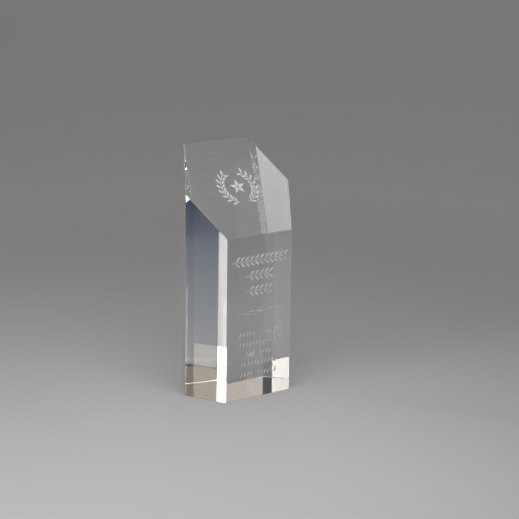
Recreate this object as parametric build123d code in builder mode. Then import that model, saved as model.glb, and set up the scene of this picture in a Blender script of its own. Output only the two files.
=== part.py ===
"""Slant-top hexagonal crystal award: one solid block, with etched artwork that is filled in.

The block is a six-sided prism, wider than it is deep, cut at a slant so that it rises from the
front face to the back face. Its artwork is sand-etched: an emblem on the slanted facet, and rows
of ornament on the front face. Each group of marks is a shallow pocket in the block, and holds
its own thin pale fill.

Millimetres. +Z is up, the front face looks along -Y, and the origin is the middle of the base.
"""

import os
from math import cos, radians, sin, tan

from build123d import *

# ---- the block -------------------------------------------------------------------------------
total_height = 152.4  # base to the back edge of the slant
face_width = 47.0  # front face, and the back face behind it
side_width = 28.5  # each of the four narrower side faces
corner_angle = 120.0  # inside angle between neighbouring faces, in plan
slant_angle = 45.0  # slope of the top facet, from horizontal
edge_bevel = 0.35  # polished bevel on every outside edge

# ---- the etching -----------------------------------------------------------------------------
etch_depth = 0.30  # depth of every pocket
fill_recess = 0.05  # how far a fill sits below the polished surface
mark_gap = 0.30  # bare crystal between a leaf's foot and the stem beside it

# ---- the field on the front face, which holds nine rows ----------------------------------------
field_top_margin = 15.4  # slant edge down to the middle of the first row
field_bottom_margin = 15.6  # middle of the last row down to the base
field_side_margin = 2.0  # crystal left bare at each end of the widest row
heading_span = 0.265  # the heading rows' share of the field's height
flourish_place = 0.447  # how far down the field the flourish lies
lower_start = 0.640  # where the lower rows begin; they end at its foot

# ---- heading rows: laurel sprigs --------------------------------------------------------------
heading_shares = (1.0, 0.54, 0.54)  # length of each row, as a share of the field's width
heading_leading = 1.45  # spacing of the rows, as a multiple of their height
heading_pitch = 3.5  # one pair of leaves to the next
heading_leaf_width = 1.5
heading_lean = 40.0  # angle between a leaf and its stem
stem_width = 0.45

# ---- lower rows: leaflets standing side by side -------------------------------------------------
lower_rows = ((5, 6), (12,), (3, 4), (11,), (4, 6))  # leaflets in each group of each row
lower_leading = 1.75  # spacing of the rows, as a multiple of their height
lower_pitch = 2.5
leaflet_width = 1.15
leaflet_lean = 18.0  # angle between a leaflet and the vertical

# ---- the flourish between them ------------------------------------------------------------------
loop_length = 12.5
loop_width = 2.7
loop_stroke = 0.5
loop_offset = 4.2  # middle of each loop from the middle of the face
loop_rise = 0.75  # the right loop is this much higher, and the left one as much lower
tail_length = 8.5
tail_width = 0.55

# ---- the emblem on the slanted facet ------------------------------------------------------------
star_points = 5
star_radius = 5.6
star_notch = 0.42  # radius of the inner corners, as a share of star_radius
star_line = 0.4  # bare line between the facets of the star
wreath_radius = 11.4  # of the wreath's stems
wreath_stem = 0.5
wreath_leaf = 4.0
wreath_leaf_width = 1.3
wreath_pitch = 3.3  # along the stem, from one pair of leaves to the next
wreath_start = 16.0  # angle from straight down to the foot of each branch
wreath_end = 150.0  # angle from straight down to its tip
wreath_lean = 38.0  # angle between a leaf and its stem

# ---- sizes that follow from those above ---------------------------------------------------------
half_face = face_width / 2
half_width = half_face + side_width * cos(radians(180 - corner_angle))
half_depth = side_width * sin(radians(180 - corner_angle))
front_height = total_height - 2 * half_depth * tan(radians(slant_angle))

field_top = front_height - field_top_margin
field_height = field_top - field_bottom_margin
field_width = face_width - 2 * field_side_margin
heading_spacing = heading_span * field_height / (len(heading_shares) - 1)
lower_spacing = (1 - lower_start) * field_height / (len(lower_rows) - 1)

# A heading leaf spans from beside the stem to the edge of its row, and a leaflet spans its row.
leaf_foot = stem_width / 2 + mark_gap
heading_leaf = (heading_spacing / heading_leading / 2 - leaf_foot) / sin(radians(heading_lean))
leaflet_length = lower_spacing / lower_leading / cos(radians(leaflet_lean))

front_plane = Plane(origin=(0, -half_depth, 0), x_dir=(1, 0, 0), z_dir=(0, -1, 0))
slant_plane = Plane(
    origin=(0, 0, (front_height + total_height) / 2),
    x_dir=(1, 0, 0),
    z_dir=(0, -sin(radians(slant_angle)), cos(radians(slant_angle))),
)


def leaf_shape(length, width):
    """A pointed leaf between two arcs, with its foot at the origin and its tip on +Y."""
    with BuildSketch() as leaf:
        with BuildLine():
            ThreePointArc((0, 0), (width / 2, length / 2), (0, length))
            ThreePointArc((0, length), (-width / 2, length / 2), (0, 0))
        make_face()
    return leaf.sketch


def polar(radius, angle, sideways=0.0):
    """The point at a radius and an angle in degrees, moved sideways to the left of the way out."""
    along = (cos(radians(angle)), sin(radians(angle)))
    return (
        radius * along[0] - sideways * along[1],
        radius * along[1] + sideways * along[0],
    )


def heading_row(row):
    """A laurel sprig lying along its row: a straight stem, with a pair of leaves at each step."""
    height = field_top - row * heading_spacing
    leaf = leaf_shape(heading_leaf, heading_leaf_width)
    leaf_reach = leaf_foot + heading_leaf * cos(radians(heading_lean))
    pairs = int((heading_shares[row] * field_width - leaf_reach) / heading_pitch)
    start = -(pairs * heading_pitch + leaf_reach) / 2
    with BuildSketch() as sprig:
        with Locations((start + pairs * heading_pitch / 2, height)):
            SlotOverall(pairs * heading_pitch, stem_width)
        for pair in range(pairs):
            foot = start + (pair + 1) * heading_pitch
            for side in (1, -1):
                turn = side * heading_lean - 90
                with Locations(Location((foot, height + side * leaf_foot, 0), (0, 0, turn))):
                    add(leaf)
    return sprig.sketch


def flourish_shape():
    """Two slim pointed loops that overlap in the middle, each with a tapered tail, end for end."""
    height = field_top - flourish_place * field_height
    outer = leaf_shape(loop_length, loop_width)
    inner = leaf_shape(loop_length - 4 * loop_stroke, loop_width - 2 * loop_stroke)
    tail = leaf_shape(tail_length, tail_width)
    tail_start = loop_offset + loop_length / 2 - 2 * loop_stroke
    with BuildSketch() as flourish:
        for side in (1, -1):
            turn = -90 * side
            with BuildSketch(mode=Mode.PRIVATE) as loop:
                lift = height + side * loop_rise
                foot = side * (loop_offset - loop_length / 2)
                with Locations(Location((foot, lift, 0), (0, 0, turn))):
                    add(outer)
                with Locations(Location((foot + side * 2 * loop_stroke, lift, 0), (0, 0, turn))):
                    add(inner, mode=Mode.SUBTRACT)
                with Locations(Location((side * tail_start, lift, 0), (0, 0, turn))):
                    add(tail)
            add(loop.sketch)
    return flourish.sketch


def lower_row(row):
    """A row of leaflets leaning to the right, with room for one more between its groups."""
    height = field_top - (lower_start * field_height + row * lower_spacing)
    leaf = leaf_shape(leaflet_length, leaflet_width)
    steps = []
    for group in lower_rows[row]:
        first = steps[-1] + 2 if steps else 0
        steps += range(first, first + group)
    with BuildSketch() as leaflets:
        for step in steps:
            middle = (step - steps[-1] / 2) * lower_pitch
            foot = middle - leaflet_length / 2 * sin(radians(leaflet_lean))
            drop = leaflet_length / 2 * cos(radians(leaflet_lean))
            with Locations(Location((foot, height - drop, 0), (0, 0, -leaflet_lean))):
                add(leaf)
    return leaflets.sketch


def star_shape():
    """A star made of one kite for each point, with a bare line between neighbours."""
    half_turn = 180 / star_points
    notch = star_radius * star_notch
    inset = star_line / 2 / sin(radians(half_turn))
    with BuildSketch() as star:
        for point in range(star_points):
            aim = 90 + point * 2 * half_turn
            with BuildLine():
                Polyline(
                    polar(inset, aim),
                    polar(notch, aim - half_turn, star_line / 2),
                    polar(star_radius, aim),
                    polar(notch, aim + half_turn, -star_line / 2),
                    close=True,
                )
            make_face()
    return star.sketch


def wreath_branch(side):
    """One branch of the wreath, on the right where side is 1 and on the left where it is -1."""
    leaf = leaf_shape(wreath_leaf, wreath_leaf_width)
    foot_gap = wreath_stem / 2 + mark_gap
    sweep_angle = wreath_end - wreath_start
    pairs = int(radians(sweep_angle) * wreath_radius / wreath_pitch)
    with BuildSketch() as branch:
        with BuildLine():
            CenterArc((0, 0), wreath_radius, -90 + side * wreath_start, side * sweep_angle)
        trace(line_width=wreath_stem)
        for pair in range(pairs):
            angle = -90 + side * (wreath_start + sweep_angle * (pair + 0.5) / pairs)
            for out in (1, -1):
                foot = polar(wreath_radius + out * foot_gap, angle)
                turn = angle + side * (90 - out * wreath_lean) - 90
                with Locations(Location((*foot, 0), (0, 0, turn))):
                    add(leaf)
    return branch.sketch


# ---- the artwork by node, each shape with the plane of the face that it is etched into -----------
artwork = {
    "emblem_star_fill": (slant_plane, star_shape()),
    "emblem_wreath_right_fill": (slant_plane, wreath_branch(1)),
    "emblem_wreath_left_fill": (slant_plane, wreath_branch(-1)),
    "flourish_fill": (front_plane, flourish_shape()),
}
for row in range(len(heading_shares)):
    artwork[f"heading_row_{row + 1}_fill"] = (front_plane, heading_row(row))
for row in range(len(lower_rows)):
    artwork[f"lower_row_{row + 1}_fill"] = (front_plane, lower_row(row))

# ---- the crystal block: a prism, cut at a slant, bevelled, then etched ---------------------------
with BuildPart() as crystal_block:
    with BuildSketch():
        with BuildLine():
            Polyline(
                (-half_face, -half_depth),
                (half_face, -half_depth),
                (half_width, 0),
                (half_face, half_depth),
                (-half_face, half_depth),
                (-half_width, 0),
                close=True,
            )
        make_face()
    extrude(amount=total_height)
    split(bisect_by=slant_plane, keep=Keep.BOTTOM)
    chamfer(crystal_block.edges(), length=edge_bevel)
    for plane, shape in artwork.values():
        with BuildSketch(plane):
            add(shape)
        extrude(amount=-etch_depth, mode=Mode.SUBTRACT)

os.makedirs("parts", exist_ok=True)
crystal_block.part.label = "crystal_block"
export_step(crystal_block.part, "parts/crystal_block.step")

# ---- the fills: each shape again, from the floor of its pocket almost to the surface -------------
for name, (plane, shape) in artwork.items():
    with BuildPart() as fill:
        with BuildSketch(plane.offset(-etch_depth)):
            add(shape)
        extrude(amount=etch_depth - fill_recess)
    fill.part.label = name
    export_step(fill.part, f"parts/{name}.step")

print("front height:", round(front_height, 2), "depth:", round(2 * half_depth, 2))
print("width:", round(2 * half_width, 2), "volume:", round(crystal_block.part.volume))
print("heading leaf:", round(heading_leaf, 2), "leaflet:", round(leaflet_length, 2))
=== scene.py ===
"""Crystal award: the looks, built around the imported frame. Metres, +Z up, front face along -Y."""

from math import cos, pi, radians, sin

import bmesh
import bpy
import numpy as np
from mathutils import Matrix, Vector


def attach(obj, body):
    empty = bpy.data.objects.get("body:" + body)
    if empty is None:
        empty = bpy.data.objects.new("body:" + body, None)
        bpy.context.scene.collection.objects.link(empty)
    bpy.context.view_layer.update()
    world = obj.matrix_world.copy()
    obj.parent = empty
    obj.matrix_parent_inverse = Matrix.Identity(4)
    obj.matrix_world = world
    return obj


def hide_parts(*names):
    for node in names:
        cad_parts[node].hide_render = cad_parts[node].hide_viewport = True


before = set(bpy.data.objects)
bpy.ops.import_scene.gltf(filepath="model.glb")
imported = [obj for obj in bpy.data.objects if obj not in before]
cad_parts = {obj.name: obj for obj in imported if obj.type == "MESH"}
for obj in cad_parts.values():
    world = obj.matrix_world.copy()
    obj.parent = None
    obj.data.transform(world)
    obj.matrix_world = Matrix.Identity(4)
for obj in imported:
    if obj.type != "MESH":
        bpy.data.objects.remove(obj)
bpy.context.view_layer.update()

scene = bpy.context.scene

# ---- the crystal block --------------------------------------------------------------------------
# One solid block of clear optical crystal, sawn, ground flat and polished on all its faces, with a
# narrow polished bevel along every edge. Nothing is fixed to it: it stands on its own polished base.
corner_angle = 120.0
slant_angle = 45.0
facet_slack = 0.000002  # how far inside a facet's plane a point still counts as on it
base_rounding = 0.6  # how far the bevels round the base are shaded as rounds, 1 being fully
refractive_index = 1.49  # set by where the inner edges fall; acrylic has 1.49, usual crystal 1.52
blasted_roughness = 0.5


def shader_tree(material):
    """Clears the material's tree down to an output fed by a Principled shader, and returns them."""
    material.use_nodes = True
    tree = material.node_tree
    tree.nodes.clear()
    output = tree.nodes.new("ShaderNodeOutputMaterial")
    shader = tree.nodes.new("ShaderNodeBsdfPrincipled")
    tree.links.new(shader.outputs["BSDF"], output.inputs["Surface"])
    return tree, shader, output


def object_noise(tree, scale, detail, roughness=0.5):
    """A noise texture on Object coordinates, its scale in cells per metre."""
    place = tree.nodes.new("ShaderNodeTexCoord")
    noise = tree.nodes.new("ShaderNodeTexNoise")
    noise.inputs["Scale"].default_value = scale
    noise.inputs["Detail"].default_value = detail
    noise.inputs["Roughness"].default_value = roughness
    tree.links.new(place.outputs["Object"], noise.inputs["Vector"])
    return noise.outputs["Fac"]


def stretch(tree, value, low, high, to_low, to_high):
    """The value's range low to high, eased and carried to the range to_low to to_high."""
    ease = tree.nodes.new("ShaderNodeMapRange")
    ease.interpolation_type = "SMOOTHSTEP"
    for socket, number in zip(ease.inputs[1:5], (low, high, to_low, to_high)):
        socket.default_value = number
    tree.links.new(value, ease.inputs[0])
    return ease.outputs[0]


def add_bump(tree, shader, height, distance, strength=1.0):
    """Raises the shader's surface by the height value times the distance in metres."""
    bump = tree.nodes.new("ShaderNodeBump")
    bump.inputs["Distance"].default_value = distance
    bump.inputs["Strength"].default_value = strength
    tree.links.new(height, bump.inputs["Height"])
    tree.links.new(bump.outputs["Normal"], shader.inputs["Normal"])


def polished_crystal():
    """Clear crystal: a trace of grey in its depth, lapping waviness and faint wiping marks, and matt
    where the blasted attribute says that a pocket was cut."""
    material = bpy.data.materials.new("polished_crystal")
    tree, shader, output = shader_tree(material)
    shader.inputs["Base Color"].default_value = (1.0, 1.0, 1.0, 1.0)
    shader.inputs["Transmission Weight"].default_value = 1.0
    shader.inputs["IOR"].default_value = refractive_index
    wiped = object_noise(tree, 55.0, 4.0, 0.6)
    blasted = tree.nodes.new("ShaderNodeAttribute")
    blasted.attribute_name = "blasted"
    matt = tree.nodes.new("ShaderNodeMath")
    matt.operation = "MULTIPLY_ADD"
    tree.links.new(blasted.outputs["Fac"], matt.inputs[0])
    matt.inputs[1].default_value = blasted_roughness
    tree.links.new(stretch(tree, wiped, 0.50, 0.75, 0.0, 0.012), matt.inputs[2])
    tree.links.new(matt.outputs[0], shader.inputs["Roughness"])
    add_bump(tree, shader, object_noise(tree, 70.0, 1.0), 0.000003)
    depth = tree.nodes.new("ShaderNodeVolumeAbsorption")
    depth.inputs["Color"].default_value = (0.90, 0.93, 0.94, 1.0)
    depth.inputs["Density"].default_value = 1.2
    tree.links.new(depth.outputs["Volume"], output.inputs["Volume"])
    return material


def joined_copy(node, name, swell=0.0):
    """The node's solid as one joined mesh, moved out along its normals by the swell, in metres."""
    mesh = node.data.copy()
    mesh.name = name
    mesh.materials.clear()
    shell = bmesh.new()
    shell.from_mesh(mesh)
    bmesh.ops.remove_doubles(shell, verts=shell.verts, dist=1e-6)
    shell.normal_update()
    for vertex in shell.verts:
        vertex.co += vertex.normal * swell
    shell.to_mesh(mesh)
    shell.free()
    piece = bpy.data.objects.new(name, mesh)
    scene.collection.objects.link(piece)
    return piece


def round_the_bevels(mesh, facets):
    """Shades each bevel as a polished round: at every corner that it shares with one of the facets it
    takes that facet's normal, so that the shade turns evenly from one facet to the next. The base is
    the last facet, and its bevels go only part of the way, by base_rounding. Triangles with a corner
    that lies on no facet are pocket walls and floors, and the attribute blasted marks them."""
    triangles = len(mesh.polygons)
    corners = np.empty(triangles * 3, dtype=np.int32)
    mesh.loops.foreach_get("vertex_index", corners)
    face_normals = np.empty(triangles * 3)
    mesh.polygons.foreach_get("normal", face_normals)
    face_normals = face_normals.reshape(-1, 3)
    places = np.empty(len(mesh.vertices) * 3)
    mesh.vertices.foreach_get("co", places)
    places = places.reshape(-1, 3)[corners].reshape(-1, 3, 3)
    normals = np.repeat(face_normals[:, None, :], 3, axis=1)
    closeness = face_normals @ facets.T
    outward = np.einsum("fij,kj->fik", places, facets)
    reach = outward.max(axis=(0, 1))
    on_facet = outward > reach - facet_slack
    is_facet = closeness.max(axis=1) > 0.9999
    touches = on_facet.any(axis=2)
    in_pocket = ~is_facet & (on_facet.sum(axis=2) == 0).any(axis=1)
    blended = facets[on_facet.argmax(axis=2)]
    takes = touches & ~is_facet[:, None] & ~in_pocket[:, None]
    share = np.where(on_facet.argmax(axis=2) == len(facets) - 1, base_rounding, 1.0)[:, :, None]
    blended = blended * share + normals * (1.0 - share)
    blended /= np.linalg.norm(blended, axis=2, keepdims=True)
    normals = np.where(takes[:, :, None], blended, normals)
    mesh.polygons.foreach_set("use_smooth", np.ones(triangles, dtype=bool))
    mesh.normals_split_custom_set(normals.reshape(-1, 3).tolist())
    blasted = mesh.attributes.new("blasted", "FLOAT", "FACE")
    blasted.data.foreach_set("value", (~touches).any(axis=1).astype(np.float32))


turns = [radians((180 - corner_angle) * side) for side in range(6)]
facets = [(sin(turn), -cos(turn), 0.0) for turn in turns]
facets += [(0.0, -sin(radians(slant_angle)), cos(radians(slant_angle))), (0.0, 0.0, -1.0)]
block = joined_copy(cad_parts["crystal_block"], "crystal_body")
round_the_bevels(block.data, np.array(facets))
block.data.materials.append(polished_crystal())
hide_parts("crystal_block")
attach(block, "root")

# ---- the etched marks ---------------------------------------------------------------------------
# Leaf rows, a flourish, a star and a wreath, sand-blasted through a stencil to three tenths of a
# millimetre. The rough floor of each pocket holds a thin pale fill, so that it reads as frost.
fill_bedding = 0.000015  # how far a fill is pressed into the crystal, so that no two faces coincide


def frosted_fill():
    """Pale matt fill with blasted grain, which glows with the light from behind it as frost does."""
    material = bpy.data.materials.new("frosted_fill")
    tree, shader, output = shader_tree(material)
    shader.inputs["Roughness"].default_value = 0.85
    shader.inputs["Specular IOR Level"].default_value = 0.25
    glow = tree.nodes.new("ShaderNodeBsdfTranslucent")
    glow.inputs["Color"].default_value = (0.97, 0.97, 0.96, 1.0)
    both = tree.nodes.new("ShaderNodeMixShader")
    patches = object_noise(tree, 420.0, 3.0)
    tree.links.new(stretch(tree, patches, 0.30, 0.70, 0.30, 0.50), both.inputs[0])
    tree.links.new(shader.outputs["BSDF"], both.inputs[1])
    tree.links.new(glow.outputs["BSDF"], both.inputs[2])
    tree.links.new(both.outputs["Shader"], output.inputs["Surface"])
    grain = object_noise(tree, 6500.0, 2.0)
    tone = tree.nodes.new("ShaderNodeValToRGB")
    tone.color_ramp.elements[0].position = 0.30
    tone.color_ramp.elements[0].color = (0.86, 0.86, 0.85, 1.0)
    tone.color_ramp.elements[1].position = 0.70
    tone.color_ramp.elements[1].color = (0.98, 0.98, 0.97, 1.0)
    tree.links.new(grain, tone.inputs["Fac"])
    tree.links.new(tone.outputs["Color"], shader.inputs["Base Color"])
    add_bump(tree, shader, grain, 0.00006)
    return material


def clear_bed():
    """The sides and the underside of a fill, wetted to the crystal, which show nothing of their own."""
    material = bpy.data.materials.new("clear_bed")
    tree, shader, output = shader_tree(material)
    tree.nodes.remove(shader)
    clear = tree.nodes.new("ShaderNodeBsdfTransparent")
    tree.links.new(clear.outputs["BSDF"], output.inputs["Surface"])
    return material


def frosted_mark(node, outward):
    """A fill in its pocket: its outer face carries the frost, and the rest of it is clear."""
    mark = joined_copy(node, node.name.replace("_fill", "_frost"), fill_bedding)
    mark.data.materials.append(frost)
    mark.data.materials.append(bed)
    for face in mark.data.polygons:
        face.material_index = 0 if face.normal.dot(outward) > 0.9 else 1
    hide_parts(node.name)
    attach(mark, "root")
    return mark


frost = frosted_fill()
bed = clear_bed()
for name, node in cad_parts.items():
    if name.startswith("emblem"):
        frosted_mark(node, Vector(facets[6]))
    elif name.endswith("_fill"):
        frosted_mark(node, Vector(facets[0]))

# ---- the floor ----------------------------------------------------------------------------------
# A wide pale board with a soft sheen, a hair below the base so that the two never coincide. Away from
# the award it gives off a little light of its own, so that it meets the background without a step.
floor_half = 6.0
floor_drop = 0.00005
near_glow = 0.040
far_glow = 0.105
floor_mesh = bpy.data.meshes.new("floor")
corners = [(x * floor_half, y * floor_half, -floor_drop) for x, y in ((-1, -1), (1, -1), (1, 1), (-1, 1))]
floor_mesh.from_pydata(corners, [], [(0, 1, 2, 3)])
floor = bpy.data.objects.new("floor", floor_mesh)
scene.collection.objects.link(floor)
pale_board = bpy.data.materials.new("pale_board")
tree, shader, output = shader_tree(pale_board)
shader.inputs["Base Color"].default_value = (0.50, 0.50, 0.51, 1.0)
shader.inputs["Roughness"].default_value = 0.5
place = tree.nodes.new("ShaderNodeTexCoord")
reach = tree.nodes.new("ShaderNodeVectorMath")
reach.operation = "LENGTH"
tree.links.new(place.outputs["Object"], reach.inputs[0])
near_lift = stretch(tree, reach.outputs["Value"], 0.25, 0.60, 0.0, near_glow)
far_lift = stretch(tree, reach.outputs["Value"], 2.2, 5.0, 0.0, far_glow)
lift = tree.nodes.new("ShaderNodeMath")
tree.links.new(near_lift, lift.inputs[0])
tree.links.new(far_lift, lift.inputs[1])
shader.inputs["Emission Color"].default_value = (1.0, 0.98, 0.97, 1.0)
tree.links.new(lift.outputs[0], shader.inputs["Emission Strength"])
floor_mesh.materials.append(pale_board)

# ---- the studio light ---------------------------------------------------------------------------
# A small bright soft box close on the left, a larger and softer one above it and further forward, and
# a square one overhead in front. A narrow glowing strip, seen only in the crystal, lies and turns up to
# the right of the front: a painted reflection of a floor in shade and of a dark flag.


def soft_box(name, place, target, size, radiance, tint):
    """A rectangular area light of a given radiance and tint, aimed from its place at its target."""
    lamp = bpy.data.lights.new(name, "AREA")
    lamp.shape = "RECTANGLE"
    lamp.size, lamp.size_y = size
    lamp.energy = radiance * pi * size[0] * size[1]
    lamp.color = tint
    lamp_object = bpy.data.objects.new(name, lamp)
    scene.collection.objects.link(lamp_object)
    lamp_object.location = place
    aim = Vector(target) - Vector(place)
    lamp_object.rotation_euler = aim.to_track_quat("-Z", "Y").to_euler()
    lamp_object.visible_camera = False
    return lamp_object


soft_box("left_box", (-0.50, -0.015, 0.22), (0.0, -0.015, 0.14), (0.17, 0.26), 4.5, (1.0, 0.955, 0.89))
soft_box("left_wing", (-0.54, -0.20, 0.46), (0.0, -0.05, 0.12), (0.34, 0.50), 2.0, (1.0, 0.985, 0.96))
soft_box("front_box", (-0.08, -0.18, 0.34), (-0.10, -0.10, 0.0), (0.24, 0.24), 3.9, (0.99, 0.99, 1.0))


def painted_reflection_strip(bearing, start, aside, width, profile):
    """A narrow strip that runs away from the award along a bearing and then turns up. It glows in painted
    tones that show only in the crystal, a painted reflection of a floor in shade and of a dark flag. Its
    profile is a list of distance, height and tone, and each tone is a glow colour and a cover, blended in
    between."""
    way = Vector((sin(radians(bearing)), cos(radians(bearing)), 0))
    across = Vector((cos(radians(bearing)), -sin(radians(bearing)), 0))
    points, faces, tones = [], [], []
    for distance, height, tone in profile:
        middle = Vector(start) + way * distance + across * aside + Vector((0, 0, height))
        points += [middle - across * width / 2, middle + across * width / 2]
        tones += [tone, tone]
    for row in range(len(profile) - 1):
        foot = 2 * row
        faces.append((foot, foot + 1, foot + 3, foot + 2))
    mesh = bpy.data.meshes.new("painted_reflection_strip")
    mesh.from_pydata(points, [], faces)
    layer = mesh.color_attributes.new("tone", "FLOAT_COLOR", "POINT")
    layer.data.foreach_set("color", [number for tone in tones for number in tone])
    painted_strip = bpy.data.objects.new("painted_reflection_strip", mesh)
    scene.collection.objects.link(painted_strip)
    material = bpy.data.materials.new("painted_reflection_strip")
    material.use_nodes = True
    tree = material.node_tree
    tree.nodes.clear()
    output = tree.nodes.new("ShaderNodeOutputMaterial")
    glow = tree.nodes.new("ShaderNodeEmission")
    clear = tree.nodes.new("ShaderNodeBsdfTransparent")
    both = tree.nodes.new("ShaderNodeMixShader")
    shade = tree.nodes.new("ShaderNodeAttribute")
    shade.attribute_name = "tone"
    tree.links.new(shade.outputs["Color"], glow.inputs["Color"])
    tree.links.new(shade.outputs["Alpha"], both.inputs[0])
    tree.links.new(clear.outputs[0], both.inputs[1])
    tree.links.new(glow.outputs[0], both.inputs[2])
    tree.links.new(both.outputs[0], output.inputs["Surface"])
    mesh.materials.append(material)
    painted_strip.visible_camera = False
    painted_strip.visible_diffuse = False
    painted_strip.visible_shadow = False


# Painted tones: floor grey by the award, darker further out as painted shade, and dark blue-grey where it
# turns up, as a painted dark flag.
painted_reflection_strip(147.0, (0.033, -0.009, 0.0), 0.0015, 0.027, (
    (0.012, 0.0006, (0.27, 0.265, 0.25, 0.0)),
    (0.016, 0.0006, (0.27, 0.265, 0.25, 1.0)),
    (0.065, 0.0006, (0.245, 0.25, 0.26, 1.0)),
    (0.105, 0.0006, (0.210, 0.222, 0.238, 1.0)),
    (0.190, 0.0006, (0.172, 0.182, 0.200, 1.0)),
    (0.190, 0.029, (0.115, 0.130, 0.162, 1.0)),
    (0.190, 0.045, (0.050, 0.066, 0.098, 1.0)),
    (0.190, 0.066, (0.040, 0.050, 0.075, 1.0)),
))


def studio_world():
    """Light by direction: a pale sweep at the horizon, dark above it, a warm wall towards +X and a
    soft ceiling overhead."""
    world = bpy.data.worlds.new("studio")
    scene.world = world
    world.use_nodes = True
    tree = world.node_tree
    tree.nodes.clear()
    output = tree.nodes.new("ShaderNodeOutputWorld")
    background = tree.nodes.new("ShaderNodeBackground")
    place = tree.nodes.new("ShaderNodeTexCoord")
    split = tree.nodes.new("ShaderNodeSeparateXYZ")
    tree.links.new(place.outputs["Generated"], split.inputs[0])

    def layer(under, tone, amount):
        mix = tree.nodes.new("ShaderNodeMix")
        mix.data_type = "RGBA"
        if isinstance(under, tuple):
            mix.inputs["A"].default_value = (*under, 1.0)
        else:
            tree.links.new(under, mix.inputs["A"])
        mix.inputs["B"].default_value = (*tone, 1.0)
        tree.links.new(amount, mix.inputs["Factor"])
        return mix.outputs["Result"]

    def both(one, other):
        product = tree.nodes.new("ShaderNodeMath")
        product.operation = "MULTIPLY"
        tree.links.new(one, product.inputs[0])
        tree.links.new(other, product.inputs[1])
        return product.outputs[0]

    side, height = split.outputs["X"], split.outputs["Z"]
    wall = both(stretch(tree, side, 0.10, 0.45, 0.0, 1.0), stretch(tree, height, 0.55, 0.75, 1.0, 0.0))
    light = layer((0.062, 0.065, 0.072), (0.198, 0.168, 0.122), wall)
    far = both(wall, stretch(tree, split.outputs["Y"], -0.4, 0.5, 0.0, 1.0))
    light = layer(light, (0.48, 0.435, 0.38), far)
    light = layer(light, (0.46, 0.47, 0.485), stretch(tree, height, 0.80, 0.90, 0.0, 1.0))
    light = layer(light, (0.215, 0.211, 0.210), stretch(tree, height, 0.14, 0.26, 1.0, 0.0))
    tree.links.new(light, background.inputs["Color"])
    tree.links.new(background.outputs[0], output.inputs["Surface"])


studio_world()

# ---- the camera ---------------------------------------------------------------------------------
# A long lens a metre away, to the left of the front face and a little above it.
camera_distance = 1.04757
camera_turn = radians(35.043)
camera_tilt = radians(15.392)
camera_roll = radians(0.922)
aim_aside = 0.013906
aim_height = 0.081923
toward_camera = Vector((-sin(camera_turn) * cos(camera_tilt), -cos(camera_turn) * cos(camera_tilt),
                        sin(camera_tilt)))
level_right = Vector((cos(camera_turn), -sin(camera_turn), 0))
level_up = toward_camera.cross(level_right)
camera_right = level_right * cos(camera_roll) + level_up * sin(camera_roll)
camera_up = level_up * cos(camera_roll) - level_right * sin(camera_roll)
camera_data = bpy.data.cameras.new("camera")
camera_data.sensor_width = 36.0
camera_data.lens = 117.92
camera_data.clip_end = 20.0
camera = bpy.data.objects.new("camera", camera_data)
scene.collection.objects.link(camera)
camera.location = level_right * aim_aside + Vector((0, 0, aim_height)) + toward_camera * camera_distance
camera.rotation_euler = Matrix((camera_right, camera_up, toward_camera)).transposed().to_euler()
scene.camera = camera

scene.view_settings.view_transform = "Standard"
scene.cycles.max_bounces = 24
scene.cycles.glossy_bounces = 20
scene.cycles.transmission_bounces = 20
scene.cycles.transparent_max_bounces = 16
